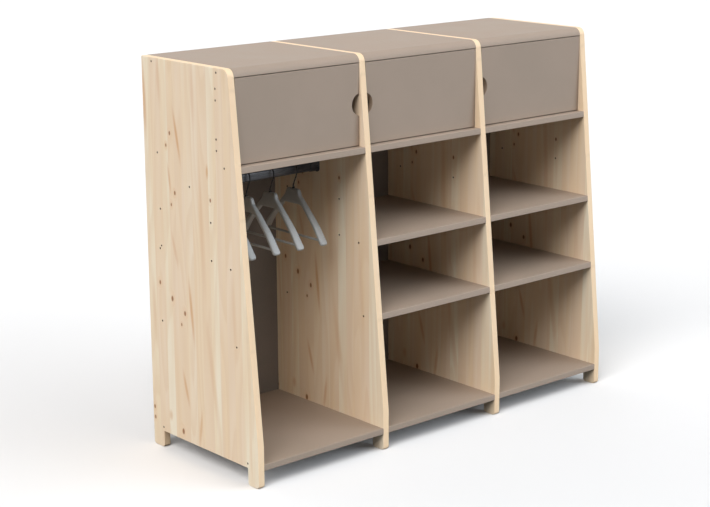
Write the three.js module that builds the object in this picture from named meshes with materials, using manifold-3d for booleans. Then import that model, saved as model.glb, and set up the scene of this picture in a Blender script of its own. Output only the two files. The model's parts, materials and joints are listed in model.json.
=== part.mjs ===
// Children's wardrobe in three bays: a hanging bay and two shelf bays, each under a small cupboard.
// Millimetres, +Z up, +X to the right seen from the front, -Y to the front.
// The origin is the middle of the footprint, on the floor.

import * as THREE from 'three';
import { mergeVertices } from 'three/addons/utils/BufferGeometryUtils.js';
import Module from 'manifold-3d';

const wasm = await Module();
wasm.setup();

// Carcass
const bay_width = 450; // clear width between two side panels
const side_thickness = 22;
const board_thickness = 18; // shelves, doors, bottoms and cupboard floors
const top_thickness = 24;
const back_thickness = 8;
const back_recess = 5; // the back panel stands this far inside the rear edges
const height = 1178;
const base_depth = 514;
const top_depth = 410; // depth at the top, measured to the corner before it is rounded
const upright_height = 121.5; // the front edge is upright to here and leans back above
const corner_radius = 24; // top front corner of the sides and tops
const foot_height = 51; // height of the arch under a side, and of the bottom panels
const front_foot_depth = 49;
const back_foot_depth = 54;
const arch_radius = 2;
const foot_radius = 10;
const rear_corner_radius = 3; // top rear corner of the sides
const side_edge_round = 2;
const board_edge_round = 1.2;
const least_flat = 0.5; // left flat between two rounds of one edge
const joint_fit = 0.2; // gap left between two boards that are screwed together
const lower_shelf_top = 415;
const upper_shelf_top = 635;
const cupboard_clear_height = 244; // between the cupboard's floor and its top
const hanging_bay = 1; // bays are numbered from the left
const shelf_bays = [2, 3];

// Doors
const door_side_gap = 2;
const door_top_gap = 2;
const door_bottom_gap = 2.5;
const notch_radius = 33; // finger notch in the free edge, an arc of this radius
const notch_depth = 26.5;
const door_hangs_on = [-1, 1, 1]; // -1 on the side panel at its left, 1 at its right

// Concealed hinges, two on each door
const hinge_inset = 50; // hinge centre from the door's top and bottom edge
const cup_radius = 17.5;
const cup_wall = 1.2;
const cup_depth = 11.5;
const cup_pocket_clearance = 0.5; // between the cup's bottom and the pocket's
const cup_edge_distance = 22.5; // cup centre from the door's edge
const cup_fit = 0.25;
const flange_length = 60;
const flange_width = 16;
const flange_thickness = 1.2;
const flange_radius = 19.5; // round part of the flange, over the cup's rim
const nose_pin_offset = 11.5; // arm pin, past the cup's centre
const nose_pin_sink = 7; // and below the door's rear face
const nose_pin_radius = 1.2;
const link_length = 21.5;
const link_rest_angle = THREE.MathUtils.degToRad(175.5);
const link_bend_share = 0.9; // where the link bends, along its length
const link_bend_offset = 1.9; // and how far to the side
const link_thickness = 2;
const link_height = 9.4;
const link_eye_radius = 2.4;
const link_tip_radius = 1.4;
const pin_fit = 0.3;
const arm_strip = 4.8; // width of the arm in plan
const arm_height = 13;
const arm_slot = 10; // slot for the link between the arm's cheeks
const arm_slot_depth = 6; // behind the pin
const arm_crank_gap = 7; // from the door's rear face to the arm's first bend
const arm_seat = 9; // arm's middle line over the side panel, on its plate
const arm_crank_length = 19;
const arm_tail_length = 36;
const plate_setback = 43.5; // hinge screws behind the door's rear face
const plate_wing_length = 46;
const plate_wing_width = 11;
const plate_thickness = 2.4;
const plate_block_height = 14;

// Clothes rail in the hanging bay
const rail_height = 30;
const rail_width = 15;
const rail_wall = 1.2;
const rail_drop = 66; // rail's centre below the cupboard floor
const rail_from_back = 218.5;
const rail_collar_wall = 1.2;
const rail_collar_length = 27;
const rail_plate_thickness = 3;
const rail_plate_height = 38;
const rail_plate_width = 22;
const rail_fit = 0.3;

// Hangers
const hanger_count = 4;
const hanger_pitch = 88;
const hanger_half_span = 142;
const hanger_neck_top = 55.5; // neck top below the rail's centre
const hanger_neck_half_width = 27;
const hanger_neck_depth = 46; // neck top to the arch under it
const hanger_neck_side_slope = Math.tan(THREE.MathUtils.degToRad(75));
const hanger_arm_start = 15.5; // the arm begins to fall here, inside the neck
const hanger_arm_slope = Math.tan(THREE.MathUtils.degToRad(46));
const hanger_droop_start = 108; // from here the shoulder bends down further
const hanger_droop_slope = Math.tan(THREE.MathUtils.degToRad(25.5));
const hanger_arm_radius = 6; // half the arm's thickness, and its round end seen from the side
const hanger_neck_thickness = 13;
const hanger_shoulder_thickness = 26;
const hanger_neck_blend = 2; // softness of the neck's top corners,
const hanger_blend = 7; // of the bends into the arms and the arch,
const hanger_droop_blend = 14; // and of the bend at the shoulder
const section_power = 0.65; // 1 makes the arm's section an ellipse, less makes it squarer
const shoulder_taper_share = 0.7; // how much the shoulder narrows at its very end
const inner_ring_shares = [0, 0.19, 0.23, 0.27, 0.34, 0.55, 0.78, 0.9, 1];
const shoulder_ring_shares = [-0.3, 0.3, 0.7, 0.95];
const bar_radius = 3.5;
const bar_below_neck = 140.5; // trouser bar's middle line below the neck top
const bar_socket_depth = 7;
const bar_fit = 0.3;
const hook_wire = 4;
const hook_radius = 19; // middle line of the hook
const hook_seat_gap = 0.3;
const hook_neck_gap = 10; // straight shank above the hanger's neck
const hook_start_angle = THREE.MathUtils.degToRad(125);
const hook_end_angle = THREE.MathUtils.degToRad(-100);
const hook_head_radius = 4.5;
const hook_head_height = 2.2;
const shank_fit = 0.3;

// Faceting
const facet_error = 0.15; // how far a facet may lie inside its arc
const edge_steps = 2;
const cup_steps = 24;
const pin_steps = 12;
const hook_steps = 28;
const wire_sides = 8;
const hook_arc_points = 12;
const ring_points = 12;
const halvings = 40;
const cut_margin = 5; // how far a cutting body runs past what it cuts

// Shapes drawn in one plane and pushed along the third axis
const ALONG_X = new THREE.Matrix4().makeBasis(
  new THREE.Vector3(0, 1, 0), new THREE.Vector3(0, 0, 1), new THREE.Vector3(1, 0, 0));
const ALONG_Y = new THREE.Matrix4().makeBasis(
  new THREE.Vector3(1, 0, 0), new THREE.Vector3(0, 0, 1), new THREE.Vector3(0, -1, 0));
const ALONG_Z = new THREE.Matrix4();

// Overall places worked out from the sizes above
const bay_count = door_hangs_on.length;
const bay_pitch = bay_width + side_thickness;
const total_width = bay_count * bay_pitch + side_thickness;
const back_y = base_depth / 2;
const front_y = back_y - base_depth;
const board_back_y = back_y - back_recess - back_thickness - joint_fit;
const board_length = bay_width - 2 * joint_fit;
const bottom_top = foot_height + board_thickness;
const cupboard_floor_top = height - top_thickness - cupboard_clear_height;
const rail_centre_z = cupboard_floor_top - board_thickness - rail_drop;
const door_bottom = cupboard_floor_top + door_bottom_gap;
const door_top = height - top_thickness - door_top_gap;
const lean = (base_depth - top_depth) / (height - upright_height);
const lean_angle = Math.atan(lean);

const frontAt = (z) => front_y + lean * Math.max(0, z - upright_height);
const sideLeftX = (index) => index * bay_pitch - total_width / 2;
const bayCentreX = (index) => sideLeftX(index) + side_thickness + bay_width / 2;

const door_front_y = frontAt(door_top);

const pine = new THREE.MeshStandardMaterial({ color: 0xe6c9a2, roughness: 0.6, metalness: 0 });
const taupe = new THREE.MeshStandardMaterial({ color: 0x9d9084, roughness: 0.55, metalness: 0 });
const steel = new THREE.MeshStandardMaterial({ color: 0x34373b, roughness: 0.35, metalness: 0.9 });
const nickel = new THREE.MeshStandardMaterial({ color: 0xb9bbbd, roughness: 0.3, metalness: 1 });
const wire = new THREE.MeshStandardMaterial({ color: 0x17181a, roughness: 0.35, metalness: 0.6 });
const hanger_grey = new THREE.MeshStandardMaterial({ color: 0xc6c9cc, roughness: 0.5, metalness: 0 });

// Points along an arc, both ends included, as many as its radius needs.
function arc(centre, radius, from, to) {
  const step = 2 * Math.acos(1 - facet_error / radius);
  const count = Math.max(2, Math.ceil(Math.abs(to - from) / step));
  return Array.from({ length: count + 1 }, (_, i) => {
    const angle = THREE.MathUtils.lerp(from, to, i / count);
    return new THREE.Vector2(centre.x + radius * Math.cos(angle), centre.y + radius * Math.sin(angle));
  });
}

// A closed outline from corners [a, b, radius]; a corner with a radius becomes an arc.
function outline(corners) {
  const points = corners.map(([a, b]) => new THREE.Vector2(a, b));
  return new THREE.Shape(corners.flatMap(([, , radius = 0], index) => {
    const corner = points[index];
    if (radius === 0) return [corner];
    const before = points.at(index - 1).clone().sub(corner).normalize();
    const after = points[(index + 1) % points.length].clone().sub(corner).normalize();
    const half_angle = Math.acos(before.dot(after)) / 2;
    const centre = before.clone().add(after).setLength(radius / Math.sin(half_angle)).add(corner);
    const middle = corner.clone().sub(centre).angle();
    const half_turn = (Math.PI / 2 - half_angle) * Math.sign(after.cross(before));
    return arc(centre, radius, middle - half_turn, middle + half_turn);
  }));
}

// Two half circles joined by straight sides: a across, b up.
function stadium(width, length) {
  const radius = width / 2;
  const middle = new THREE.Vector2(0, length / 2 - radius);
  const points = [
    ...arc(middle, radius, 0, Math.PI),
    ...arc(middle.clone().negate(), radius, Math.PI, 2 * Math.PI),
  ];
  return new THREE.Shape(length > width ? points : points.filter((_, i) => i % (points.length / 2)));
}

// Pushes a shape by thickness and rounds its edges inside the outline.
function push(shape, thickness, basis, round = 0) {
  const geometry = new THREE.ExtrudeGeometry(shape, {
    depth: thickness - 2 * round,
    bevelEnabled: round > 0,
    bevelThickness: round,
    bevelSize: round,
    bevelOffset: -round,
    bevelSegments: edge_steps,
  });
  return geometry.translate(0, 0, round).applyMatrix4(basis);
}

function block(x_size, y_size, z_size) {
  return new THREE.BoxGeometry(x_size, y_size, z_size);
}

function cylinder(radius, length, steps, basis) {
  return new THREE.CylinderGeometry(radius, radius, length, steps).rotateX(Math.PI / 2).applyMatrix4(basis);
}

// A closed geometry as a solid for cutting and joining.
function solid(geometry) {
  const bare = geometry.clone();
  bare.deleteAttribute('normal');
  bare.deleteAttribute('uv');
  const merged = mergeVertices(bare);
  const corners = merged.index.array;
  const kept = [];
  for (let i = 0; i < corners.length; i += 3) {
    const [a, b, c] = corners.slice(i, i + 3);
    if (a !== b && b !== c && c !== a) kept.push(a, b, c);
  }
  return new wasm.Manifold(new wasm.Mesh({
    numProp: 3,
    vertProperties: new Float32Array(merged.attributes.position.array),
    triVerts: new Uint32Array(kept),
  }));
}

function geometryOf(body) {
  const mesh = body.getMesh();
  const geometry = new THREE.BufferGeometry();
  geometry.setAttribute('position', new THREE.BufferAttribute(mesh.vertProperties, 3));
  geometry.setIndex(new THREE.BufferAttribute(mesh.triVerts, 1));
  const flat = geometry.toNonIndexed();
  flat.computeVertexNormals();
  return flat;
}

const join = (...geometries) => geometries.map(solid).reduce((sum, next) => sum.add(next));
const cut = (body, ...cutters) => cutters.map(solid).reduce((rest, next) => rest.subtract(next), body);

function part(name, geometry, material, x = 0, y = 0, z = 0) {
  const mesh = new THREE.Mesh(geometry, material);
  mesh.name = name;
  mesh.position.set(x, y, z);
  return mesh;
}

// Side panel: upright back, leaning front, round top corner and an arch between two feet.
function sidePanel() {
  const profile = outline([
    [back_y, 0, foot_radius],
    [back_y, height, rear_corner_radius],
    [frontAt(height), height, corner_radius],
    [front_y, upright_height],
    [front_y, 0, foot_radius],
    [front_y + front_foot_depth, 0, foot_radius],
    [front_y + front_foot_depth, foot_height, arch_radius],
    [back_y - back_foot_depth, foot_height, arch_radius],
    [back_y - back_foot_depth, 0, foot_radius],
  ]);
  return push(profile, side_thickness, ALONG_X, side_edge_round);
}

// A board between two sides, its front edge cut to the lean of the sides. The round of its top
// front corner ends before the round under it begins.
function board(top, thickness, rear_y, top_front_round = board_edge_round) {
  const reach_per_radius = Math.tan((Math.PI / 2 - lean_angle) / 2);
  const lower_reach = board_edge_round / reach_per_radius;
  const room = thickness / Math.cos(lean_angle) - lower_reach - least_flat;
  const profile = outline([
    [rear_y, top - thickness],
    [rear_y, top],
    [frontAt(top), top, Math.min(top_front_round, room / reach_per_radius)],
    [frontAt(top - thickness), top - thickness, board_edge_round],
  ]);
  return push(profile, board_length, ALONG_X).translate(-board_length / 2, 0, 0);
}

function backPanel() {
  return block(board_length, back_thickness, height - top_thickness - joint_fit - foot_height);
}

// Places of a door and its hinges, from the side panel that it hangs on.
const door_width = bay_width - 2 * door_side_gap;
const door_height = door_top - door_bottom;
const cup_reach = door_side_gap + cup_edge_distance;
const pin_reach = cup_reach + nose_pin_offset;
const hinge_heights = { lower: door_bottom + hinge_inset, upper: door_top - hinge_inset };

// Door outline from its middle; hang is the side it hangs on, and the notch is in the other edge.
function door(hang) {
  const half_width = door_width / 2;
  const half_height = door_height / 2;
  const notch_centre = new THREE.Vector2(half_width + notch_radius - notch_depth, 0);
  const half_notch_angle = Math.acos((notch_radius - notch_depth) / notch_radius);
  const shape = new THREE.Shape([
    new THREE.Vector2(-half_width, half_height),
    new THREE.Vector2(-half_width, -half_height),
    new THREE.Vector2(half_width, -half_height),
    ...arc(notch_centre, notch_radius, Math.PI + half_notch_angle, Math.PI - half_notch_angle),
    new THREE.Vector2(half_width, half_height),
  ]);
  const leaf = push(shape, board_thickness, ALONG_Y, board_edge_round).translate(0, board_thickness, 0);
  if (hang > 0) leaf.rotateY(Math.PI);
  const pocket_floor = board_thickness - cup_depth - cup_pocket_clearance;
  const pocket_length = cup_depth + cup_pocket_clearance + cut_margin;
  const pocket_x = hang * (bay_width / 2 - cup_reach);
  const pockets = Object.values(hinge_heights).map((z) => {
    const pocket = cylinder(cup_radius, pocket_length, cup_steps, ALONG_Y);
    return pocket.translate(pocket_x, pocket_floor + pocket_length / 2, z - door_bottom - half_height);
  });
  return geometryOf(cut(solid(leaf), ...pockets));
}

// Hinge cup: a pot in the door's pocket under a flange with two screw wings.
// Its middle is the origin, and its mouth looks to the rear.
function hingeCup() {
  const outer_radius = cup_radius - cup_fit;
  const pot_top = joint_fit + flange_thickness / 2;
  const pot = cylinder(outer_radius, cup_depth + pot_top, cup_steps, ALONG_Y)
    .translate(0, (pot_top - cup_depth) / 2, 0);
  const wings = push(stadium(flange_width, flange_length), flange_thickness, ALONG_Y);
  const rim = push(stadium(2 * flange_radius, 2 * flange_radius), flange_thickness, ALONG_Y);
  [wings, rim].forEach((plate) => plate.translate(0, joint_fit + flange_thickness, 0));
  const hollow_depth = cup_depth - cup_wall;
  const hollow_length = hollow_depth + cut_margin;
  const hollow = cylinder(outer_radius - cup_wall, hollow_length, cup_steps, ALONG_Y)
    .translate(0, hollow_length / 2 - hollow_depth, 0);
  return geometryOf(cut(join(pot, wings, rim), hollow));
}

// A bent strip of even width in plan, from points [x, y].
function strip(points, width) {
  const path = points.map(([x, y]) => new THREE.Vector2(x, y));
  const left = [];
  const right = [];
  path.forEach((point, index) => {
    const before = point.clone().sub(path[Math.max(index - 1, 0)]);
    const after = path[Math.min(index + 1, path.length - 1)].clone().sub(point);
    const entry = before.lengthSq() > 0 ? before.normalize() : after.clone().normalize();
    const leave = after.lengthSq() > 0 ? after.normalize() : entry;
    const along = entry.clone().add(leave).normalize();
    const half = width / 2 / along.dot(entry);
    left.push(new THREE.Vector2(point.x - along.y * half, point.y + along.x * half));
    right.push(new THREE.Vector2(point.x + along.y * half, point.y - along.x * half));
  });
  return new THREE.Shape([...left, ...right.reverse()]);
}

// Hinge arm on its plate: cranked from the side panel into the cup, with the link's pin in its nose.
// The origin is on the side panel's face at the door's front face; hang is the side of the panel.
function hingeArm(hang) {
  const across = (reach) => -hang * reach;
  const pin_depth = board_thickness - nose_pin_sink;
  const bend_depth = board_thickness + arm_crank_gap;
  const seat_depth = bend_depth + arm_crank_length;
  const tail_depth = seat_depth + arm_tail_length;
  const path = [
    [across(pin_reach), pin_depth],
    [across(pin_reach), bend_depth],
    [across(arm_seat), seat_depth],
    [across(arm_seat), tail_depth],
  ];
  const arm = push(strip(path, arm_strip), arm_height, ALONG_Z).translate(0, 0, -arm_height / 2);
  const nose = cylinder(arm_strip / 2, arm_height, pin_steps, ALONG_Z)
    .translate(across(pin_reach), pin_depth, 0);
  const block_length = tail_depth - seat_depth;
  const plate_block = block(arm_seat - joint_fit, block_length, plate_block_height)
    .translate(across((arm_seat + joint_fit) / 2), (seat_depth + tail_depth) / 2, 0);
  const wing_x = across(joint_fit + plate_thickness / 2) - plate_thickness / 2;
  const wing = push(stadium(plate_wing_width, plate_wing_length), plate_thickness, ALONG_X)
    .translate(wing_x, board_thickness + plate_setback, 0);
  const slot_length = nose_pin_sink + arm_slot_depth + cut_margin;
  const slot = block(arm_strip + 2 * cut_margin, slot_length, arm_slot)
    .translate(across(pin_reach), pin_depth + arm_slot_depth - slot_length / 2, 0);
  const pin = cylinder(nose_pin_radius, arm_height, pin_steps, ALONG_Z)
    .translate(across(pin_reach), pin_depth, 0);
  return geometryOf(cut(join(arm, nose, plate_block, wing), slot).add(solid(pin)));
}

// Hinge link on the arm's pin: an eye, a flat bar and a rolled tip that stays inside the cup.
// The origin is the pin.
function hingeLink(hang) {
  const along = new THREE.Vector2(Math.cos(link_rest_angle), Math.sin(link_rest_angle));
  const place = (reach, offset) => [
    -hang * (reach * along.x - offset * along.y),
    reach * along.y + offset * along.x,
  ];
  const tip = place(link_length, 0);
  const bend = place(link_bend_share * link_length, link_bend_offset);
  const bar = push(strip([[0, 0], bend, tip], link_thickness), link_height, ALONG_Z);
  const eye = cylinder(link_eye_radius, link_height, pin_steps, ALONG_Z).translate(0, 0, link_height / 2);
  const roll = cylinder(link_tip_radius, link_height, pin_steps, ALONG_Z)
    .translate(tip[0], tip[1], link_height / 2);
  const bore = cylinder(nose_pin_radius + pin_fit, link_height + 2 * cut_margin, pin_steps, ALONG_Z)
    .translate(0, 0, link_height / 2);
  return geometryOf(cut(join(bar, eye, roll), bore).translate([0, 0, -link_height / 2]));
}

// Oval clothes rail, a tube between its two end sockets.
const rail_length = bay_width - 2 * (joint_fit + rail_plate_thickness + rail_fit);

function clothesRail() {
  const section = stadium(rail_width, rail_height);
  section.holes.push(stadium(rail_width - 2 * rail_wall, rail_height - 2 * rail_wall));
  return push(section, rail_length, ALONG_X).translate(-rail_length / 2, 0, 0);
}

// End socket of the rail: a screwed plate with an oval collar; it faces +X.
function railSocket() {
  const plate = push(stadium(rail_plate_width, rail_plate_height), rail_plate_thickness, ALONG_X);
  const bore_width = rail_width + 2 * rail_fit;
  const bore_height = rail_height + 2 * rail_fit;
  const collar_shape = stadium(bore_width + 2 * rail_collar_wall, bore_height + 2 * rail_collar_wall);
  const collar_length = rail_plate_thickness + rail_collar_length;
  const collar = push(collar_shape, collar_length, ALONG_X);
  const bore = push(stadium(bore_width, bore_height), collar_length, ALONG_X)
    .translate(rail_plate_thickness, 0, 0);
  return geometryOf(cut(join(plate, collar), bore));
}

// Hanger outline at a distance from the middle, from the neck top down: a neck block with an arch
// under it, and arms that fall evenly and bend down further at the shoulder.
const softRise = (distance, blend) => (distance + Math.hypot(distance, blend)) / 2;
const softStep = (distance, blend) => (1 + distance / Math.hypot(distance, blend)) / 2;
const armSlopeAt = (across) => hanger_arm_slope * softStep(across - hanger_arm_start, hanger_blend)
  + hanger_droop_slope * softStep(across - hanger_droop_start, hanger_droop_blend);
const armFallAt = (across) => hanger_arm_radius * Math.hypot(1, hanger_arm_slope)
  + hanger_arm_slope * softRise(across - hanger_arm_start, hanger_blend)
  + hanger_droop_slope * softRise(across - hanger_droop_start, hanger_droop_blend);
const halfUprightAt = (across) => hanger_arm_radius * Math.hypot(1, armSlopeAt(across));
const neckSideAt = (across) => hanger_neck_side_slope
  * softRise(across - hanger_neck_half_width, hanger_neck_blend);
const topLine = (across) => -Math.min(armFallAt(across) - halfUprightAt(across), neckSideAt(across));
const underLine = (across) => -hanger_neck_depth
  - softRise(armFallAt(across) + halfUprightAt(across) - hanger_neck_depth, hanger_blend);
const shoulder_across = hanger_half_span - hanger_arm_radius;

// Upper and lower height of the arm, its end closed by a round shoulder.
function armHeights(across) {
  const shoulder_drop = -armFallAt(shoulder_across);
  const lean_sin = Math.sin(Math.atan(armSlopeAt(shoulder_across)));
  const past = across - shoulder_across;
  const on_circle = Math.sqrt(Math.max(0, hanger_arm_radius ** 2 - past ** 2));
  const tangent = hanger_arm_radius * lean_sin;
  const upper = past > tangent ? shoulder_drop + on_circle : topLine(across);
  const lower = past > -tangent ? shoulder_drop - on_circle : underLine(across);
  return [upper, lower];
}

// Hanger body: rings along the span, thin at the neck and wide at the shoulders.
// The origin is the middle of the neck's top.
function hangerBody() {
  const inner_end = shoulder_across - hanger_arm_radius;
  const stations = [
    ...inner_ring_shares.map((share) => share * inner_end),
    ...shoulder_ring_shares.map((share) => shoulder_across + share * hanger_arm_radius),
  ];
  const both = [...stations.slice(1).reverse().map((across) => -across), ...stations];
  const positions = [];
  both.forEach((across) => {
    const [upper, lower] = armHeights(Math.abs(across));
    const middle = (upper + lower) / 2;
    const share = Math.abs(across) / hanger_half_span;
    const spread = hanger_shoulder_thickness - hanger_neck_thickness;
    const past = Math.max(0, Math.abs(across) - shoulder_across) / hanger_arm_radius;
    const taper = Math.sqrt(1 - shoulder_taper_share * past ** 2);
    const width = (hanger_neck_thickness + spread * share) * taper;
    for (let i = 0; i < ring_points; i += 1) {
      const angle = (2 * Math.PI * i) / ring_points;
      const wide = Math.sign(Math.cos(angle)) * Math.abs(Math.cos(angle)) ** section_power;
      const tall = Math.sign(Math.sin(angle)) * Math.abs(Math.sin(angle)) ** section_power;
      positions.push(wide * width / 2, across, middle + tall * (upper - lower) / 2);
    }
  });
  const indices = [];
  for (let ring = 0; ring + 1 < both.length; ring += 1) {
    for (let i = 0; i < ring_points; i += 1) {
      const next = (i + 1) % ring_points;
      const here = ring * ring_points;
      const there = here + ring_points;
      indices.push(here + i, there + i, here + next, here + next, there + i, there + next);
    }
  }
  const last = (both.length - 1) * ring_points;
  for (let i = 1; i + 1 < ring_points; i += 1) {
    indices.push(0, i, i + 1);
    indices.push(last, last + i + 1, last + i);
  }
  const body = new THREE.BufferGeometry();
  body.setAttribute('position', new THREE.Float32BufferAttribute(positions, 3));
  body.setIndex(indices);
  const shank_bore = cylinder(
    hook_wire / 2 + shank_fit, hanger_neck_depth + 2 * cut_margin, pin_steps, ALONG_Z)
    .translate(0, 0, -hanger_neck_depth / 2);
  const socket_length = 2 * (bar_half_length + bar_fit);
  const bar_bore = cylinder(bar_radius + bar_fit, socket_length, pin_steps, ALONG_Y)
    .translate(0, 0, -bar_below_neck);
  return geometryOf(cut(solid(body), shank_bore, bar_bore));
}

// Inner face of an arm at the height of the trouser bar, found by halving.
function innerFaceAt(drop) {
  let near = 0;
  let far = shoulder_across;
  for (let i = 0; i < halvings; i += 1) {
    const middle = (near + far) / 2;
    if (armHeights(middle)[1] > drop) near = middle;
    else far = middle;
  }
  return near;
}

const bar_half_length = innerFaceAt(-bar_below_neck) + bar_socket_depth;

function trouserBar() {
  return cylinder(bar_radius, 2 * bar_half_length, pin_steps, ALONG_Y);
}

// Wire hook: a headed shank through the neck, a swan neck to the front and an arc over the rail.
// The origin is the middle of the hanger's neck top.
function hook() {
  const rail_top = hanger_neck_top + rail_height / 2;
  const centre_z = rail_top + hook_seat_gap - (hook_radius - hook_wire / 2);
  const shank_foot = underLine(0) - shank_fit - hook_head_height / 2;
  const points = [new THREE.Vector3(0, 0, shank_foot), new THREE.Vector3(0, 0, 0)];
  points.push(new THREE.Vector3(0, 0, hook_neck_gap));
  for (let i = 0; i <= hook_arc_points; i += 1) {
    const angle = THREE.MathUtils.lerp(hook_start_angle, hook_end_angle, i / hook_arc_points);
    const point = new THREE.Vector3(0, -hook_radius * Math.sin(angle), hook_radius * Math.cos(angle));
    points.push(point.setZ(point.z + centre_z));
  }
  const path = new THREE.CatmullRomCurve3(points, false, 'centripetal');
  const section = new THREE.Shape(Array.from({ length: wire_sides }, (_, i) => {
    const angle = (2 * Math.PI * i) / wire_sides;
    return new THREE.Vector2(Math.cos(angle), Math.sin(angle)).multiplyScalar(hook_wire / 2);
  }));
  const rod = new THREE.ExtrudeGeometry(section, {
    steps: hook_steps, extrudePath: path, bevelEnabled: false,
  });
  const head = cylinder(hook_head_radius, hook_head_height, pin_steps, ALONG_Z)
    .translate(0, 0, shank_foot);
  return geometryOf(join(rod, head));
}

const wardrobe = new THREE.Group();

// Sides, numbered from the left
for (let index = 0; index <= bay_count; index += 1) {
  wardrobe.add(part(`side_panel_${index + 1}`, sidePanel(), pine, sideLeftX(index)));
}

// What every bay has: top, cupboard floor, bottom, back and a door on two hinges
door_hangs_on.forEach((hang, index) => {
  const number = index + 1;
  const bay = new THREE.Group();
  bay.position.set(bayCentreX(index), 0, 0);
  bay.add(part(`top_panel_${number}`, board(height, top_thickness, back_y, corner_radius), taupe));
  const cupboard_floor = board(cupboard_floor_top, board_thickness, board_back_y);
  bay.add(part(`cupboard_floor_${number}`, cupboard_floor, taupe));
  bay.add(part(`bottom_panel_${number}`, board(bottom_top, board_thickness, board_back_y), taupe));
  bay.add(part(`back_panel_${number}`, backPanel(), taupe,
    0, back_y - back_recess - back_thickness / 2, (foot_height + height - top_thickness - joint_fit) / 2));
  bay.add(part(`door_${number}`, door(hang), taupe, 0, door_front_y, (door_bottom + door_top) / 2));
  Object.entries(hinge_heights).forEach(([level, z]) => {
    const panel_x = hang * bay_width / 2;
    const hinge = new THREE.Group();
    hinge.position.set(panel_x, door_front_y, z);
    const cup = part(`hinge_cup_${number}_${level}`, hingeCup(), nickel);
    cup.position.set(-hang * cup_reach, board_thickness, 0);
    hinge.add(cup);
    hinge.add(part(`hinge_arm_${number}_${level}`, hingeArm(hang), nickel));
    hinge.add(part(`hinge_link_${number}_${level}`, hingeLink(hang), nickel,
      -hang * pin_reach, board_thickness - nose_pin_sink, 0));
    bay.add(hinge);
  });
  wardrobe.add(bay);
});

// Two shelves in each open bay
shelf_bays.forEach((number) => {
  const shelves = new THREE.Group();
  shelves.position.set(bayCentreX(number - 1), 0, 0);
  shelves.add(part(`lower_shelf_${number}`, board(lower_shelf_top, board_thickness, board_back_y), taupe));
  shelves.add(part(`upper_shelf_${number}`, board(upper_shelf_top, board_thickness, board_back_y), taupe));
  wardrobe.add(shelves);
});

// Clothes rail with its sockets and hangers
const hanging = new THREE.Group();
hanging.position.set(bayCentreX(hanging_bay - 1), back_y - rail_from_back, rail_centre_z);
hanging.add(part('clothes_rail', clothesRail(), steel));
const socket_x = bay_width / 2 - joint_fit;
hanging.add(part('rail_socket_left', railSocket(), steel, -socket_x));
const right_socket = part('rail_socket_right', railSocket(), steel, socket_x);
right_socket.rotation.z = Math.PI;
hanging.add(right_socket);
for (let index = 0; index < hanger_count; index += 1) {
  const hanger = new THREE.Group();
  hanger.position.set((index - (hanger_count - 1) / 2) * hanger_pitch, 0, -hanger_neck_top);
  hanger.add(part(`hanger_hook_${index + 1}`, hook(), wire));
  hanger.add(part(`hanger_body_${index + 1}`, hangerBody(), hanger_grey));
  hanger.add(part(`hanger_bar_${index + 1}`, trouserBar(), hanger_grey, 0, 0, -bar_below_neck));
  hanging.add(hanger);
}
wardrobe.add(hanging);

export default wardrobe;
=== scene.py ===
import json
import math

import bmesh
import bpy
from mathutils import Matrix, Vector


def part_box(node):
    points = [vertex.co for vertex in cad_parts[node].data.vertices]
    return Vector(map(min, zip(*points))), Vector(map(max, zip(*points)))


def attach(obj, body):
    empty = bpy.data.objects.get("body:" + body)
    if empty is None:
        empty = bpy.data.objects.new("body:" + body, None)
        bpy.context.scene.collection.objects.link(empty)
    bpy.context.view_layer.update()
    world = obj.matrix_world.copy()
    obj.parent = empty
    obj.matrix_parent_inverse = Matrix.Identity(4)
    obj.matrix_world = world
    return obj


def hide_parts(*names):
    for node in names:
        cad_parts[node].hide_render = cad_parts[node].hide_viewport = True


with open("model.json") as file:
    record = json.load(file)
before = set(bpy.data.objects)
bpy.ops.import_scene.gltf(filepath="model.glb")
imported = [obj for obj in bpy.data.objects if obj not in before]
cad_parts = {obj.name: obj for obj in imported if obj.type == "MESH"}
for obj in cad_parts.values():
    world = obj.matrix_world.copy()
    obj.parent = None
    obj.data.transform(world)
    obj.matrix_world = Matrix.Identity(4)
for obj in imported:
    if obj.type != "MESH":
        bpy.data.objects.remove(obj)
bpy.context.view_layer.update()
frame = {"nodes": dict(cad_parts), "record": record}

# Looks of the children's wardrobe. Metres, in the part's own frame: -Y is the front, +Z is up.
mm = 0.001

# Camera, at the photograph's place and angle
image_width = 710
focal_length = 1721.6  # in pixels of that width
sensor_width = 36.0
camera_place = Vector((-3.4889, -3.8704, 1.8198))
camera_heading = math.radians(40.93)  # from +Y towards +X
camera_pitch = math.radians(-14.02)
camera_roll = math.radians(0.32)

# Light: large soft lamps around the front, and a soft sky behind that keeps the back from going
# black. A lamp has a name, a heading from the front towards the left, a height and a width in
# degrees, a strength and a colour.
lamp_white = (1.0, 1.0, 1.0)
lamp_cool = (0.91, 1.0, 1.09)
lamps = [
    ("high_left", 55, 50, 36, 1.68, lamp_white),
    ("mid_left", 70, 36, 40, 0.78, lamp_white),
    ("low_left", 90, 25, 36, 0.73, lamp_white),
    ("low_front", -15, 25, 36, 0.35, lamp_cool),
    ("low_right", -40, 12, 40, 1.43, lamp_cool),
    ("mid_right", -40, 36, 40, 0.36, lamp_cool),
    ("far_right", -75, 36, 40, 0.50, lamp_cool),
    ("high_right", -45, 70, 40, 0.31, lamp_cool),
]
rear_sky = 2.1
rear_sky_backward = (0.2, 0.9)  # how far back a direction points where this sky starts and is full
rear_sky_upward = (0.1, 0.8)  # how far up it points where this sky starts to fade and has faded
rear_sky_faded = 0.2  # the share that is left of it there

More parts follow.
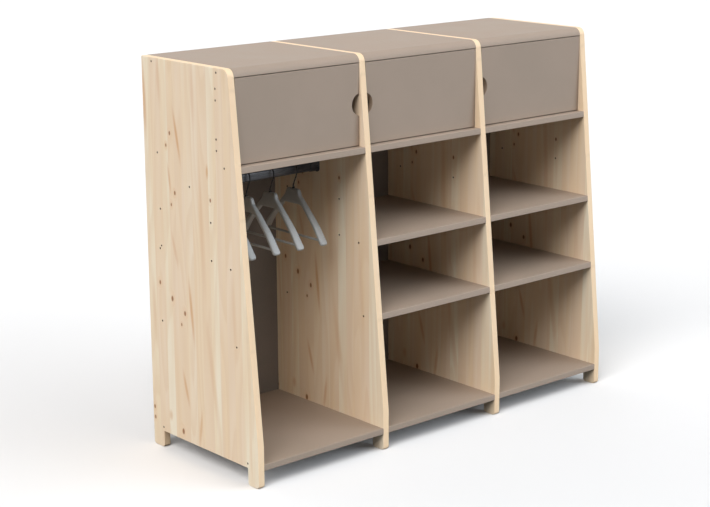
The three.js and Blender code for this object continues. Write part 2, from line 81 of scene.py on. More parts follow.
# Floor
floor_size = 60.0
floor_drop = 0.0002
floor_seen = (0.868, 0.848, 0.834, 1.0)  # how the floor looks, evening out the cool lamps
floor_bounce = (0.14, 0.15, 0.16, 1.0)  # the light that it throws back up into the furniture
floor_cloud_scale = (0.4, 0.4, 0.4)
floor_cloud_level = 0.995  # the share of its colour that the darkest patches keep

# Colours, as sRGB values out of 255
pine_cream = (238, 225, 202)
pine_straw = (231, 205, 170)
pine_blush = (232, 210, 185)
pine_ring = (220, 189, 154)
# Edges: a yellower tone of the wood, partly a painted highlight on the faces that look forwards or
# up
pine_edge_tone_and_highlight = (242, 208, 168)
pine_streak = (209, 162, 117)
knot_brown = (140, 88, 44)
knot_halo = (225, 185, 144)
# Painted shade inside the pilot holes
hole_shade_colour = (64, 46, 34)
taupe_colour = (156, 138, 122)
taupe_warm = (161, 142, 126)
# Painted shade: the back panels take a darker, cooler copy of the taupe lacquer, for the dim backs
# of the bays
back_shade_colour = (126, 119, 113)
back_shade_warm = (131, 122, 116)
hanger_colour = (158, 158, 156)
nickel_colour = (196, 197, 199)
rail_colour = (64, 67, 73)
wire_colour = (22, 23, 25)
screw_colour = (58, 44, 32)
white = (1.0, 1.0, 1.0, 1.0)

# Pine. A scale is along X, Y and Z. A range is the part of a value over which a layer of colour
# sets in, and a depth is how much of that colour the layer brings.
stave_width = 0.037
stave_wander = 0.5
stave_shift_across = 31.0  # how far the grain moves from stave to stave
stave_shift_up = 17.0
blush_range = (0.35, 0.65)
glue_line = 0.0005
glue_line_depth = 0.3
ring_scale = (9.0, 9.0, 0.9)
ring_count = 10.0
ring_rise = (0.1, 0.85)  # a ring darkens slowly
ring_fall = (1.0, 0.88)  # and ends sharply
ring_depth = 0.3
fibre_scale = (420.0, 420.0, 9.0)
fibre_range = (0.5, 0.8)
fibre_depth = 0.25
straw_scale = (20.0, 26.0, 1.6)
straw_range = (0.35, 0.75)
straw_depth = 0.8
edge_range = (0.75, 0.45)  # of how far a face looks sideways, which a panel's edges don't
edge_tone_and_highlight_depth = 0.8
pine_roughness_range = (0.3, 0.8)
pine_roughness = (0.44, 0.58)
ring_relief = 0.5
pine_relief = 0.15
pine_relief_height = 0.0003

# Knots seen on the outer side panel: place along Y and Z and radius
knot_places = [
    (0.1466, 0.9313, 0.0031), (0.1093, 0.7970, 0.0040), (0.1287, 0.7602, 0.0030),
    (0.1379, 0.4780, 0.0052), (0.0765, 0.4455, 0.0046), (0.0948, 0.4083, 0.0030),
    (0.1020, 0.0780, 0.0056), (0.2478, 0.1190, 0.0040), (0.2461, 0.0860, 0.0038),
    (0.1272, 0.9686, 0.0038), (-0.0615, 0.8025, 0.0036), (0.1978, 0.5156, 0.0040),
]
knot_squash = 0.62  # a knot's width over its height
knot_range = (1.35, 0.6)  # in radii from its middle
knot_depth = 0.9
halo_range = (4.0, 0.8)
halo_depth = 0.35
halo_push = 0.4  # how far the grain gives way round a knot

# Darker streaks along the grain: place along Y and Z, half width, half length, lean and depth
streak_places = [
    (-0.0488, 0.8815, 0.0062, 0.022, 0.00, 0.8), (0.2490, 1.0500, 0.0102, 0.110, -0.03, 0.7),
    (0.0935, 0.9650, 0.0071, 0.080, -0.20, 0.85), (0.1736, 1.1100, 0.0110, 0.080, -0.08, 0.3),
    (0.0135, 1.1000, 0.0125, 0.110, -0.05, 0.3), (0.0440, 0.4600, 0.0076, 0.100, -0.10, 0.8),
    (-0.0173, 0.7100, 0.0125, 0.240, -0.04, 0.3), (0.1180, 0.6300, 0.0076, 0.055, -0.27, 0.4),
    (0.0810, 0.2160, 0.0076, 0.055, -0.26, 0.7), (-0.0565, 0.2600, 0.0125, 0.220, -0.15, 0.3),
    (0.1637, 0.1123, 0.0102, 0.018, 0.00, 0.5), (0.0125, 0.1100, 0.0076, 0.060, 0.14, 0.6),
    (0.2300, 0.4300, 0.0093, 0.120, -0.03, 0.3), (-0.1600, 0.4800, 0.0102, 0.140, -0.05, 0.2),
    (0.1350, 0.8350, 0.0060, 0.050, -0.15, 0.6),
]
streak_range = (1.3, 0.2)  # in half widths and half lengths from its middle

# Lacquer, plastic and metal
noise_range = (0.3, 0.7)  # most of what a noise texture gives
grain_relief_height = 0.0002
lacquer_cloud_scale = (5.0, 5.0, 5.0)
lacquer_grain_scale = (900.0, 900.0, 900.0)
lacquer_grain_range = (0.45, 0.8)
lacquer_grain_depth = 0.06
lacquer_roughness = (0.5, 0.6)
lacquer_relief = 0.12
plain_cloud_scale = (30.0, 30.0, 30.0)
plain_cloud_range = (0.3, 0.75)
plain_roughness_shares = (0.85, 1.2)
even_grain = (700.0, 700.0, 700.0)
drawn_grain = (20.0, 900.0, 900.0)  # long along the rail

# Screws in the outer faces of the end panels, and pilot holes in every panel, along Y and Z
panel_numbers = (1, 2, 3, 4)
end_panels = (1, 4)
screw_places = [
    (0.2068, 1.1660), (-0.1020, 1.1645),
    (-0.0960, 1.1200), (-0.0960, 1.0876), (-0.0960, 0.9797), (-0.0960, 0.9475),
    (0.1910, 0.9040), (-0.1300, 0.9030), (0.0370, 0.8260),
    (0.2048, 0.0640), (-0.2080, 0.0650),
]
pilot_places = [
    (0.1845, 0.7390), (-0.0613, 0.7385), (0.1845, 0.6290), (-0.0606, 0.6285),
    (0.1918, 0.6200), (-0.1491, 0.6197), (0.1926, 0.3993), (-0.1690, 0.3989),
]
screw_radius = 0.0033
screw_play = 0.0001
screw_recess = 0.0004
# The outside of a screw's head: shares of its radius, with their rise along its axis
screw_profile = [(0.6, -0.002), (1.0, -0.0006), (1.0, -0.0002), (0.93, 0.0)]
countersink_depth = 0.004
pilot_radius = 0.0029
pilot_depth = 0.006
pilot_shade_range = (1.06, 1.01)  # in radii from its middle
hole_sides = 20
cutter_rise = 0.001  # how far a cutter stands out of the face that it cuts
socket_radius = 0.0013
socket_mouth = 1.25  # the socket's rim over its radius
socket_chamfer = 0.0001
socket_depth = 0.0012

# Boards and doors
bays = (1, 2, 3)
shelf_bays = (2, 3)
board_kinds = ("top_panel", "cupboard_floor", "bottom_panel", "back_panel")
shelf_kinds = ("lower_shelf", "upper_shelf")
board_reach = 0.4 * mm  # how far a board runs on into the sides
back_reach = 0.3 * mm  # and a back up into the top

# Hangers
hanger_numbers = (1, 2, 3, 4)
neck_half_width = 0.027
neck_depth = 0.046
neck_side_slope = math.tan(math.radians(75))
arm_start = 0.0155
arm_slope = math.tan(math.radians(46))
droop_start = 0.108
droop_slope = math.tan(math.radians(25.5))
arm_radius = 0.006
neck_thickness = 0.013
shoulder_thickness = 0.026
neck_softness = 0.002
bend_softness = 0.007
droop_softness = 0.014
section_power = 0.65  # 1 makes the arm's section an ellipse, less makes it squarer
shoulder_taper_share = 0.7
points_round = 24
inner_stations = 42
end_stations = 7
before_shoulder = [-0.55, -0.25]  # stations, in quarter turns round the arm's end
last_station = 0.97  # in quarter turns too
bar_radius = 0.0035
bar_sides = 20
wire_radius = 0.002
wire_sides = 12
hook_radius = 0.019
hook_start = math.radians(125)  # both from straight up
hook_end = math.radians(-100)
hook_steps = 12
path_steps = 6
shank_in_neck = 0.6  # share of the neck's depth
shank_above_neck = 0.010
hook_tip_radius = 0.0027
ferrule_radius = 0.0043
ferrule_height = 0.003
ferrule_in_neck = 0.001
ferrule_shoulder = 0.7  # share of its height
ferrule_rim = 0.8  # share of its radius

# Meshes: what counts as one point and one flat face, and the angles over which edges stay sharp
same_point = 0.002 * mm
same_face = math.radians(0.6)
board_angle = 32
metal_angle = 40
hanger_angle = 60


def linear(colour):
    """A linear RGBA colour from sRGB values out of 255."""
    def channel(value):
        value /= 255
        return value / 12.92 if value <= 0.04045 else ((value + 0.055) / 1.055) ** 2.4
    return (*map(channel, colour), 1.0)


def make_camera():
    data = bpy.data.cameras.new("camera")
    data.sensor_width = sensor_width
    data.lens = focal_length / image_width * sensor_width
    look = Vector((
        math.sin(camera_heading) * math.cos(camera_pitch),
        math.cos(camera_heading) * math.cos(camera_pitch),
        math.sin(camera_pitch)))
    level = Vector((math.cos(camera_heading), -math.sin(camera_heading), 0))
    below = look.cross(level)
    right = level * math.cos(camera_roll) + below * math.sin(camera_roll)
    up = level * math.sin(camera_roll) - below * math.cos(camera_roll)
    turn = Matrix((right, up, -look)).transposed().to_4x4()
    camera = bpy.data.objects.new("camera", data)
    camera.matrix_world = Matrix.Translation(camera_place) @ turn
    bpy.context.scene.collection.objects.link(camera)
    bpy.context.scene.camera = camera


def add(tree, kind, inputs=None, **settings):
    """A shader node; inputs maps socket names or numbers to values or to other sockets."""
    node = tree.nodes.new(kind)
    for key, value in settings.items():
        setattr(node, key, value)
    for key, value in (inputs or {}).items():
        if isinstance(value, bpy.types.NodeSocket):
            tree.links.new(value, node.inputs[key])
        else:
            node.inputs[key].default_value = value
    return node


def maths(tree, operation, *values):
    return add(tree, "ShaderNodeMath", dict(enumerate(values)), operation=operation).outputs[0]


def vector_maths(tree, operation, first, second):
    return add(tree, "ShaderNodeVectorMath", {0: first, 1: second}, operation=operation).outputs


def axes_of(tree, vector):
    return add(tree, "ShaderNodeSeparateXYZ", {0: vector}).outputs


def combined(tree, x, y, z=0.0):
    return add(tree, "ShaderNodeCombineXYZ", {"X": x, "Y": y, "Z": z}).outputs[0]


def mixed(tree, factor, first, second, blend="MIX"):
    inputs = {0: factor, 6: first, 7: second}
    return add(tree, "ShaderNodeMix", inputs, data_type="RGBA", blend_type=blend).outputs[2]


def spread(tree, value, low, high, to_low=0.0, to_high=1.0, smooth=True):
    """Maps a value from one range to another, held at both ends."""
    inputs = {
        "Value": value, "From Min": low, "From Max": high, "To Min": to_low, "To Max": to_high}
    kind = "SMOOTHSTEP" if smooth else "LINEAR"
    return add(tree, "ShaderNodeMapRange", inputs, interpolation_type=kind).outputs[0]


def noise(tree, place, detail, roughness=0.55):
    inputs = {"Vector": place, "Scale": 1.0, "Detail": detail, "Roughness": roughness}
    return add(tree, "ShaderNodeTexNoise", inputs).outputs["Fac"]


def surface(name, roughness, metallic=0.0, specular=0.5):
    """A material with a Principled shader; returns the material, its tree and the shader."""
    material = bpy.data.materials.new(name)
    material.use_nodes = True
    tree = material.node_tree
    shader = tree.nodes["Principled BSDF"]
    shader.inputs["Roughness"].default_value = roughness
    shader.inputs["Metallic"].default_value = metallic
    shader.inputs["Specular IOR Level"].default_value = specular
    return material, tree, shader


def place_of(tree):
    return add(tree, "ShaderNodeTexCoord").outputs["Object"]


def stretched(tree, place, scale):
    return vector_maths(tree, "MULTIPLY", place, scale)[0]


def distance_from(tree, place, spot):
    return vector_maths(tree, "DISTANCE", place, spot)["Value"]


def bump(tree, shader, height, strength, distance):
    inputs = {"Height": height, "Strength": strength, "Distance": distance}
    tree.links.new(add(tree, "ShaderNodeBump", inputs).outputs[0], shader.inputs["Normal"])


def highest(tree, values):
    result = values[0]
    for value in values[1:]:
        result = maths(tree, "MAXIMUM", result, value)
    return result


def round_mask(tree, reaches, start, full):
    """1 round each middle, from distances paired with radii; start and full count in radii."""
    return highest(tree, [
        spread(tree, reach, radius * start, radius * full) for reach, radius in reaches])


def knot_masks(tree, place):
    """Two masks over the panel's face: the knots themselves and the stained wood round them."""
    flat = stretched(tree, place, (0.0, 1.0, knot_squash))
    reaches = [
        (distance_from(tree, flat, (0.0, y, knot_squash * z)), radius)
        for y, z, radius in knot_places]
    return round_mask(tree, reaches, *knot_range), round_mask(tree, reaches, *halo_range)


def hole_shade_mask(tree, place):
    """Painted shade inside the pilot holes, darkening their walls and bottoms."""
    flat = stretched(tree, place, (0.0, 1.0, 1.0))
    reaches = [(distance_from(tree, flat, (0.0, y, z)), pilot_radius) for y, z in pilot_places]
    return round_mask(tree, reaches, *pilot_shade_range)


def streak_mask(tree, axes):
    masks = []
    for y, z, half_width, half_length, lean, depth in streak_places:
        along = maths(tree, "SUBTRACT", axes["Z"], z)
        across = maths(tree, "SUBTRACT", axes["Y"], y)
        across = maths(tree, "ADD", across, maths(tree, "MULTIPLY", along, lean))
        spot = combined(
            tree, maths(tree, "DIVIDE", across, half_width),
            maths(tree, "DIVIDE", along, half_length))
        reach = distance_from(tree, spot, (0.0, 0.0, 0.0))
        masks.append(spread(tree, reach, *streak_range, 0.0, depth))
    return highest(tree, masks)


def pine_material():
    """Glued staves with growth rings, fibres, knots, streaks and yellower edges with a painted
    highlight.
    """
    material, tree, shader = surface("pine", roughness=0.5, specular=0.35)
    place = place_of(tree)
    axes = axes_of(tree, place)
    knots, halos = knot_masks(tree, place)
    staves = {"W": axes["Y"], "Scale": 1 / stave_width, "Randomness": stave_wander}
    stave = add(tree, "ShaderNodeTexVoronoi", staves, voronoi_dimensions="1D")
    stave_edge = add(
        tree, "ShaderNodeTexVoronoi", staves, voronoi_dimensions="1D", feature="DISTANCE_TO_EDGE")
    chance = add(tree, "ShaderNodeSeparateColor", {0: stave.outputs["Color"]}).outputs
    shift = combined(
        tree, maths(tree, "MULTIPLY", chance[0], stave_shift_across),
        maths(tree, "MULTIPLY", halos, halo_push),
        maths(tree, "MULTIPLY", chance[1], stave_shift_up))

    def shifted(scale):
        return vector_maths(tree, "ADD", stretched(tree, place, scale), shift)[0]

    contour = noise(tree, shifted(ring_scale), detail=1.5)
    wave = maths(tree, "FRACT", maths(tree, "MULTIPLY", contour, ring_count))
    rings = maths(
        tree, "MULTIPLY", spread(tree, wave, *ring_rise), spread(tree, wave, *ring_fall))
    fibres = noise(tree, shifted(fibre_scale), detail=4.0, roughness=0.65)
    cloud = noise(tree, shifted(straw_scale), detail=2.0)
    sideways = axes_of(tree, add(tree, "ShaderNodeNewGeometry").outputs["Normal"])["X"]
    edge = maths(tree, "ABSOLUTE", sideways)
    line_reach = glue_line / stave_width * 2
    layers = [
        (spread(tree, cloud, *straw_range, 0.0, straw_depth), pine_straw),
        (maths(tree, "MULTIPLY", rings, ring_depth), pine_ring),
        (spread(tree, fibres, *fibre_range, 0.0, fibre_depth), pine_ring),
        (streak_mask(tree, axes), pine_streak),
        # the edges' yellower tone, partly a painted highlight
        (spread(tree, edge, *edge_range, 0.0, edge_tone_and_highlight_depth), pine_edge_tone_and_highlight),
        (spread(tree, stave_edge.outputs["Distance"], line_reach, 0.0, 0.0, glue_line_depth),
         pine_ring),
        (maths(tree, "MULTIPLY", halos, halo_depth), knot_halo),
        (maths(tree, "MULTIPLY", knots, knot_depth), knot_brown),
        # painted shade inside the pilot holes
        (hole_shade_mask(tree, place), hole_shade_colour),
    ]
    colour = mixed(
        tree, spread(tree, chance[2], *blush_range), linear(pine_cream), linear(pine_blush))
    for strength, tint in layers:
        colour = mixed(tree, strength, colour, linear(tint))
    tree.links.new(colour, shader.inputs["Base Color"])
    rough = spread(tree, fibres, *pine_roughness_range, *pine_roughness)
    tree.links.new(rough, shader.inputs["Roughness"])
    relief = maths(tree, "ADD", fibres, maths(tree, "MULTIPLY", rings, ring_relief))
    bump(tree, shader, relief, pine_relief, pine_relief_height)
    return material


def taupe_material(name, first, second):
    """Lacquer whose colour drifts from the first to the second, with a fine orange-peel."""
    material, tree, shader = surface(name, roughness=0.55, specular=0.2)
    place = place_of(tree)
    cloud = noise(tree, stretched(tree, place, lacquer_cloud_scale), detail=3.0)
    grain = noise(tree, stretched(tree, place, lacquer_grain_scale), detail=2.0)
    colour = mixed(tree, spread(tree, cloud, *noise_range), linear(first), linear(second))
    lighter = spread(tree, grain, *lacquer_grain_range, 0.0, lacquer_grain_depth)
    tree.links.new(mixed(tree, lighter, colour, white), shader.inputs["Base Color"])
    rough = spread(tree, cloud, *noise_range, *lacquer_roughness)
    tree.links.new(rough, shader.inputs["Roughness"])
    bump(tree, shader, grain, lacquer_relief, grain_relief_height)
    return material


def plain_material(
        name, colour, roughness, metallic=0.0, grain=even_grain, change=0.18, relief=0.1):
    """A colour that varies a little, with fine grain that roughens it."""
    material, tree, shader = surface(name, roughness, metallic)
    place = place_of(tree)
    grains = noise(tree, stretched(tree, place, grain), detail=4.0)
    cloud = noise(tree, stretched(tree, place, plain_cloud_scale), detail=2.0)
    base = linear(colour)
    darker = tuple(channel * (1 - change) for channel in base[:3]) + (1.0,)
    varied = mixed(tree, spread(tree, cloud, *plain_cloud_range), base, darker)
    tree.links.new(varied, shader.inputs["Base Color"])
    smoothest, roughest = (min(1.0, roughness * share) for share in plain_roughness_shares)
    rough = spread(tree, grains, *noise_range, smoothest, roughest)
    tree.links.new(rough, shader.inputs["Roughness"])
    bump(tree, shader, grains, relief, grain_relief_height)
    return material


def smooth(obj, degrees=board_angle):
    """Smooth shading that keeps edges over this angle sharp and flat faces flat."""
    obj.data.shade_smooth()
    obj.data.set_sharp_from_angle(angle=math.radians(degrees))
    weighted = obj.modifiers.new("even_normals", "WEIGHTED_NORMAL")
    weighted.keep_sharp = True


def shown(name, mesh, material, slot, body, *nodes):
    """A piece of the object, riding on a body and standing for these CAD nodes."""
    obj = bpy.data.objects.new(name, mesh)
    bpy.context.scene.collection.objects.link(obj)
    obj.data.materials.clear()
    obj.data.materials.append(material)
    if nodes:
        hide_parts(*nodes)
    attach(obj, body)
    return obj


def mesh_of(shape, name):
    mesh = bpy.data.meshes.new(name)
    bmesh.ops.recalc_face_normals(shape, faces=shape.faces)
    shape.to_mesh(mesh)
    shape.free()
    return mesh


def form_of(node):
    """The CAD node's form with its flat faces whole again."""
    shape = bmesh.new()
    shape.from_mesh(frame["nodes"][node].data)
    bmesh.ops.remove_doubles(shape, verts=shape.verts, dist=same_point)
    bmesh.ops.dissolve_limit(
        shape, angle_limit=same_face, verts=shape.verts, edges=shape.edges, delimit={"NORMAL"})
    return shape


def body_of(node):
    bodies = frame["record"]["behaviour"]["bodies"]
    return next(name for name, nodes in bodies.items() if node in nodes)


def dressed(node, material, slot, degrees=board_angle):
    """A CAD node's own form, shaded smoothly, with a finished surface."""
    obj = shown(
        f"{node}_shown", mesh_of(form_of(node), node), material, slot, body_of(node), node)
    smooth(obj, degrees)
    return obj


def skinned(shape, rings):
    """Faces between rings of as many points, and across the first and the last ring."""
    count = len(rings[0])
    for near, far in zip(rings, rings[1:]):
        for step in range(count):
            after = (step + 1) % count
            shape.faces.new((near[step], near[after], far[after], far[step]))
    shape.faces.new(rings[0][::-1])
    shape.faces.new(rings[-1])
    return shape


def turned(profile, centre, axis, steps=24):
    """A closed revolved form: profile holds pairs of radius and rise along axis from centre."""
    shape = bmesh.new()
    turn = axis.to_track_quat("Z", "Y")
    rings = []
    for radius, rise in profile:
        ring = []
        for step in range(steps):
            angle = 2 * math.pi * step / steps
            ring.append(shape.verts.new(
                centre + turn @ Vector((radius * math.cos(angle), radius * math.sin(angle), rise))))
        rings.append(ring)
    return skinned(shape, rings)


def joined(shapes):
    """Several loose forms as one."""
    whole = bmesh.new()
    for shape in shapes:
        part = bpy.data.meshes.new("part")
        shape.to_mesh(part)
        shape.free()
        whole.from_mesh(part)
        bpy.data.meshes.remove(part)
    return whole


def cut_away(obj, cutters):
    """Cuts these forms out of a piece for good."""
    tool = bpy.data.objects.new("cutters", mesh_of(joined(cutters), "cutters"))
    bpy.context.scene.collection.objects.link(tool)
    knife = obj.modifiers.new("cut", "BOOLEAN")
    knife.operation = "DIFFERENCE"
    knife.solver = "EXACT"
    knife.object = tool
    bpy.context.view_layer.update()
    result = obj.evaluated_get(bpy.context.evaluated_depsgraph_get())
    mesh = bpy.data.meshes.new_from_object(result)
    obj.modifiers.clear()
    obj.data = mesh
    bpy.data.objects.remove(tool)


def open_edges(shape):
    return [edge for edge in shape.edges if edge.is_boundary]


def extended(shape):
    """Extrudes the open edges in place; returns the new points."""
    result = bmesh.ops.extrude_edge_only(shape, edges=open_edges(shape))
    return [item for item in result["geom"] if isinstance(item, bmesh.types.BMVert)]


def screw(centre, axis, radius):
    """A screw head with a hexagon socket, its rim at centre, looking along axis."""
    profile = [(radius * share, rise) for share, rise in screw_profile]
    head = turned(profile + [(socket_radius * socket_mouth, 0.0)], centre, axis)
    lid = max(head.faces, key=lambda face: face.calc_center_median().dot(axis) - face.calc_area())
    bmesh.ops.delete(head, geom=[lid], context="FACES_ONLY")
    turn = axis.to_track_quat("Z", "Y")
    sixth = math.pi / 3
    for vert in extended(head):
        local = turn.inverted() @ (vert.co - centre)
        angle = math.atan2(local.y, local.x)
        flat = (angle % sixth) - sixth / 2
        reach = socket_radius * math.cos(sixth / 2) / math.cos(flat)
        vert.co = centre + turn @ Vector((
            reach * math.cos(angle), reach * math.sin(angle), -socket_chamfer))
    bmesh.ops.translate(head, verts=extended(head), vec=-axis * socket_depth)
    bmesh.ops.contextual_create(head, geom=open_edges(head))
    return head


def side_panels(material, screw_material):
    """The four sides, with countersunk screws in the two outer faces and pilot holes in all."""
    for number in panel_numbers:
        node = f"side_panel_{number}"
        low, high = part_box(node)
        panel = shown(
            f"{node}_shown", mesh_of(form_of(node), node), material, "pine", "carcass", node)
        is_last = number == panel_numbers[-1]
        face_x = high.x if is_last else low.x
        axis = Vector((1 if is_last else -1, 0, 0))
        holes = [(place, pilot_radius, pilot_depth) for place in pilot_places]
        if number in end_panels:
            holes = [(place, screw_radius, countersink_depth) for place in screw_places] + holes
        cutters = []
        for (y, z), radius, depth in holes:
            profile = [(radius, -depth), (radius, cutter_rise)]
            cutters.append(turned(profile, Vector((face_x, y, z)), axis, hole_sides))
        cut_away(panel, cutters)
        smooth(panel)
        if number in end_panels:
            heads = [
                screw(Vector((face_x, y, z)) - axis * screw_recess, axis, screw_radius - screw_play)
                for y, z in screw_places]
            fasteners = shown(
                f"panel_screws_{number}", mesh_of(joined(heads), "screws"), screw_material,
                "dark_steel", "carcass")
            smooth(fasteners)


def boards(material, shaded_back_material):
    """Tops, floors, shelves, bottoms, backs and doors, each run up to what it is joined to."""
    names = [f"{kind}_{bay}" for kind in board_kinds for bay in bays]
    names += [f"{kind}_{bay}" for kind in shelf_kinds for bay in shelf_bays]
    for node in names:
        low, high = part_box(node)
        middle_x, middle_z = (low.x + high.x) / 2, (low.z + high.z) / 2
        is_back = node.startswith("back")
        # the backs take the darker, cooler copy of the lacquer: painted shade
        obj = dressed(node, shaded_back_material if is_back else material, "taupe_lacquer")
        for vert in obj.data.vertices:
            vert.co.x += board_reach * (1 if vert.co.x > middle_x else -1)
            if is_back and vert.co.z > middle_z:
                vert.co.z += back_reach
    for bay in bays:
        dressed(f"door_{bay}", material, "taupe_lacquer")


def soft_rise(distance, softness):
    """0 before 0 and the distance itself after it, with a soft bend between."""
    return (distance + math.hypot(distance, softness)) / 2


def soft_step(distance, softness):
    """The slope of soft_rise."""
    return (1 + distance / math.hypot(distance, softness)) / 2


class HangerOutline:
    """Heights of a hanger's outline at a distance from its middle, from the top of its neck."""

    def __init__(self, half_span):
        self.shoulder = half_span - arm_radius
        self.drop = -self.fall(self.shoulder)

    def slope(self, across):
        return (arm_slope * soft_step(across - arm_start, bend_softness)
                + droop_slope * soft_step(across - droop_start, droop_softness))

    def fall(self, across):
        return (arm_radius * math.hypot(1, arm_slope)
                + arm_slope * soft_rise(across - arm_start, bend_softness)
                + droop_slope * soft_rise(across - droop_start, droop_softness))

    def half_upright(self, across):
        return arm_radius * math.hypot(1, self.slope(across))

    def top(self, across):
        neck_side = neck_side_slope * soft_rise(across - neck_half_width, neck_softness)
        return -min(self.fall(across) - self.half_upright(across), neck_side)

    def under(self, across):
        below_neck = self.fall(across) + self.half_upright(across) - neck_depth
        return -neck_depth - soft_rise(below_neck, bend_softness)

    def heights(self, across):
        past = across - self.shoulder
        on_circle = math.sqrt(max(0.0, arm_radius ** 2 - past ** 2))
        tangent = arm_radius * math.sin(math.atan(self.slope(self.shoulder)))
        upper = self.drop + on_circle if past > tangent else self.top(across)
        lower = self.drop - on_circle if past > -tangent else self.under(across)
        return upper, lower


def hanger_mesh(x, y, neck_z, half_span):
    """The hanger's body: rings along its span, thin at the neck and wide at the shoulders."""
    outline = HangerOutline(half_span)
    inner_end = outline.shoulder - arm_radius
    stations = [inner_end * step / inner_stations for step in range(inner_stations + 1)]
    past_shoulder = [last_station * step / end_stations for step in range(end_stations + 1)]
    stations += [
        outline.shoulder + arm_radius * math.sin(math.pi / 2 * share)
        for share in before_shoulder + past_shoulder]
    shape = bmesh.new()
    rings = []
    for across in [-across for across in reversed(stations[1:])] + stations:
        upper, lower = outline.heights(abs(across))
        share = abs(across) / half_span
        past = max(0.0, abs(across) - outline.shoulder) / arm_radius
        width = neck_thickness + (shoulder_thickness - neck_thickness) * share
        width *= math.sqrt(1 - shoulder_taper_share * past ** 2)
        ring = []
        for point in range(points_round):
            angle = 2 * math.pi * point / points_round
            wide = math.copysign(abs(math.cos(angle)) ** section_power, math.cos(angle))
            tall = math.copysign(abs(math.sin(angle)) ** section_power, math.sin(angle))
            ring.append(shape.verts.new((
                x + wide * width / 2, y + across,
                neck_z + (upper + lower) / 2 + tall * (upper - lower) / 2)))
        rings.append(ring)
    return mesh_of(skinned(shape, rings), "hanger_body")


def wire_form(points):
    """A round wire along points, with closed ends."""
    shape = bmesh.new()
    rings = []
    side = Vector((1, 0, 0))
    for index, point in enumerate(points):
        ahead = points[min(index + 1, len(points) - 1)] - points[max(index - 1, 0)]
        normal = ahead.cross(side).normalized()
        ring = []
        for step in range(wire_sides):
            angle = 2 * math.pi * step / wire_sides
            ring.append(shape.verts.new(
                point + wire_radius * (side * math.cos(angle) + normal * math.sin(angle))))
        rings.append(ring)
    return skinned(shape, rings)


def smooth_path(points):
    """A Catmull-Rom path through points in one plane."""
    path = []
    for index in range(len(points) - 1):
        before = points[max(index - 1, 0)]
        start, end = points[index], points[index + 1]
        after = points[min(index + 2, len(points) - 1)]
        for step in range(path_steps):
            t = step / path_steps
            path.append(0.5 * (
                2 * start + (end - before) * t
                + (2 * before - 5 * start + 4 * end - after) * t ** 2
                + (3 * start - before - 3 * end + after) * t ** 3))
    path.append(points[-1])
    return path


def hook_mesh(x, y, neck_z, top):
    """The hook: a shank out of the neck, the bend over the rail, a rounded tip and a ferrule."""
    centre_z = top - wire_radius - hook_radius
    points = [
        Vector((x, y, neck_z - neck_depth * shank_in_neck)), Vector((x, y, neck_z)),
        Vector((x, y, neck_z + shank_above_neck))]
    for step in range(hook_steps + 1):
        angle = hook_start + (hook_end - hook_start) * step / hook_steps
        points.append(Vector((
            x, y - hook_radius * math.sin(angle), centre_z + hook_radius * math.cos(angle))))
    tip = bmesh.new()
    bmesh.ops.create_uvsphere(
        tip, u_segments=16, v_segments=10, radius=hook_tip_radius,
        matrix=Matrix.Translation(points[-1]))
    ferrule = turned([
        (ferrule_radius, -ferrule_in_neck), (ferrule_radius, ferrule_height * ferrule_shoulder),
        (ferrule_radius * ferrule_rim, ferrule_height)], Vector((x, y, neck_z)), Vector((0, 0, 1)))
    return mesh_of(joined([wire_form(smooth_path(points)), tip, ferrule]), "hook")


def bar_mesh(low, high):
    """The trouser bar, along the middle of its box."""
    start = Vector(((low.x + high.x) / 2, low.y, (low.z + high.z) / 2))
    profile = [(bar_radius, 0.0), (bar_radius, high.y - low.y)]
    return mesh_of(turned(profile, start, Vector((0, 1, 0)), bar_sides), "bar")


def hangers(material, wire_material):
    for number in hanger_numbers:
        low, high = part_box(f"hanger_body_{number}")
        x, y, neck_z = (low.x + high.x) / 2, (low.y + high.y) / 2, high.z
        half_span = (high.y - low.y) / 2
        body = shown(
            f"hanger_body_{number}_shown", hanger_mesh(x, y, neck_z, half_span), material,
            "hanger_grey", f"hanger_{number}", f"hanger_body_{number}")
        smooth(body, hanger_angle)
        bar_low, bar_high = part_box(f"hanger_bar_{number}")
        bar = shown(
            f"hanger_bar_{number}_shown", bar_mesh(bar_low, bar_high), material,
            "hanger_grey", f"hanger_{number}", f"hanger_bar_{number}")
        smooth(bar)
        hook_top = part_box(f"hanger_hook_{number}")[1].z
        hook = shown(
            f"hanger_hook_{number}_shown", hook_mesh(x, y, neck_z, hook_top), wire_material,
            "black_wire", f"hook_{number}", f"hanger_hook_{number}")
        smooth(hook, metal_angle)


def hinges_and_rail(nickel, rail_material):
    for bay in bays:
        for level in ("lower", "upper"):
            for kind in ("arm", "cup", "link"):
                dressed(f"hinge_{kind}_{bay}_{level}", nickel, "nickel_hinge", metal_angle)
    for node in ("clothes_rail", "rail_socket_left", "rail_socket_right"):
        dressed(node, rail_material, "dark_steel", metal_angle)


def seen_directly(tree):
    """1 for camera rays, reflections and rays through glass, 0 for rays that carry light."""
    rays = add(tree, "ShaderNodeLightPath")
    seen = maths(tree, "MAXIMUM", rays.outputs["Is Camera Ray"], rays.outputs["Is Glossy Ray"])
    return maths(tree, "MAXIMUM", seen, rays.outputs["Is Transmission Ray"])


def floor_material():
    """A pale floor that throws back less light than the camera and reflections see in it."""
    material, tree, shader = surface("floor_paint", roughness=0.9, specular=0.1)
    cloud = noise(tree, stretched(tree, place_of(tree), floor_cloud_scale), detail=2.0)
    level = spread(tree, cloud, *noise_range, floor_cloud_level, 1.0)
    colour = mixed(tree, seen_directly(tree), floor_bounce, floor_seen)
    tree.links.new(mixed(tree, 1.0, colour, level, "MULTIPLY"), shader.inputs["Base Color"])
    return material


def add_floor():
    mesh = bpy.data.meshes.new("floor")
    half = floor_size / 2
    corners = [(-half, -half, -floor_drop), (half, -half, -floor_drop),
               (half, half, -floor_drop), (-half, half, -floor_drop)]
    mesh.from_pydata(corners, [], [(0, 1, 2, 3)])
    mesh.materials.append(floor_material())
    floor = bpy.data.objects.new("floor", mesh)
    bpy.context.scene.collection.objects.link(floor)


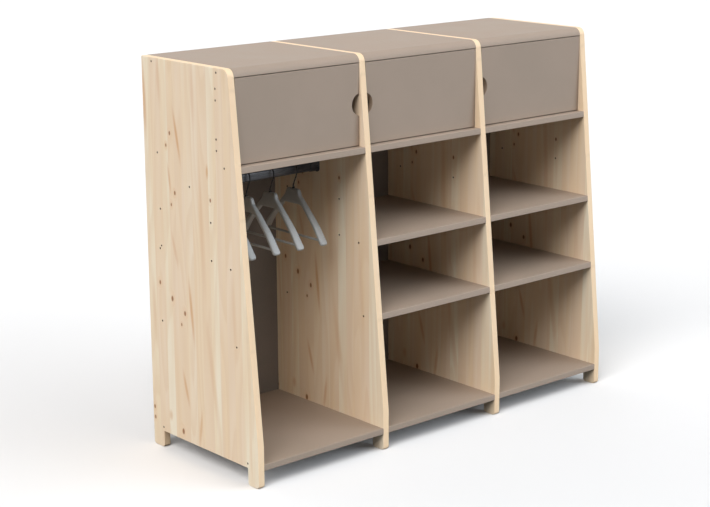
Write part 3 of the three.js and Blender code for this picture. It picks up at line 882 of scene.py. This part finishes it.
def add_lamps():
    for name, heading, height, width, strength, colour in lamps:
        turn, rise = math.radians(heading), math.radians(height)
        towards = Vector((
            -math.sin(turn) * math.cos(rise), -math.cos(turn) * math.cos(rise), math.sin(rise)))
        lamp = bpy.data.lights.new(name, "SUN")
        lamp.energy = strength
        lamp.color = colour
        lamp.angle = math.radians(width)
        sun = bpy.data.objects.new(name, lamp)
        sun.rotation_mode = "QUATERNION"
        sun.rotation_quaternion = towards.to_track_quat("Z", "Y")
        bpy.context.scene.collection.objects.link(sun)


def add_world():
    """White where it is seen. As light it comes from behind only, and most from low down."""
    world = bpy.data.worlds.new("world")
    world.use_nodes = True
    tree = world.node_tree
    background = tree.nodes["Background"]
    way = axes_of(tree, add(tree, "ShaderNodeTexCoord").outputs["Generated"])
    behind = spread(tree, way["Y"], *rear_sky_backward, 0.0, rear_sky, smooth=False)
    fading = spread(tree, way["Z"], *rear_sky_upward, 1.0, rear_sky_faded, smooth=False)
    sky = maths(tree, "MULTIPLY", behind, fading)
    seen = seen_directly(tree)
    unseen = maths(tree, "SUBTRACT", 1.0, seen)
    strength = maths(tree, "ADD", maths(tree, "MULTIPLY", unseen, sky), seen)
    tree.links.new(strength, background.inputs["Strength"])
    background.inputs["Color"].default_value = white
    bpy.context.scene.world = world


bpy.context.scene.view_settings.view_transform = "Standard"
make_camera()
pine = pine_material()
taupe = taupe_material("taupe_lacquer", taupe_colour, taupe_warm)
# a darker, cooler copy of the taupe for the backs: painted shade
shaded_back_taupe = taupe_material("taupe_back_painted_shade", back_shade_colour, back_shade_warm)
hanger_plastic = plain_material("hanger_grey", hanger_colour, roughness=0.42, change=0.05)
nickel_plate = plain_material("nickel", nickel_colour, roughness=0.28, metallic=1.0, change=0.1)
rail_steel = plain_material(
    "rail_steel", rail_colour, roughness=0.26, metallic=0.1, grain=drawn_grain, relief=0.03)
black_wire = plain_material("black_wire", wire_colour, roughness=0.35, metallic=0.4)
screw_steel = plain_material("screw_steel", screw_colour, roughness=0.5, metallic=0.2)
side_panels(pine, screw_steel)
boards(taupe, shaded_back_taupe)
hinges_and_rail(nickel_plate, rail_steel)
hangers(hanger_plastic, black_wire)
add_floor()
add_lamps()
add_world()
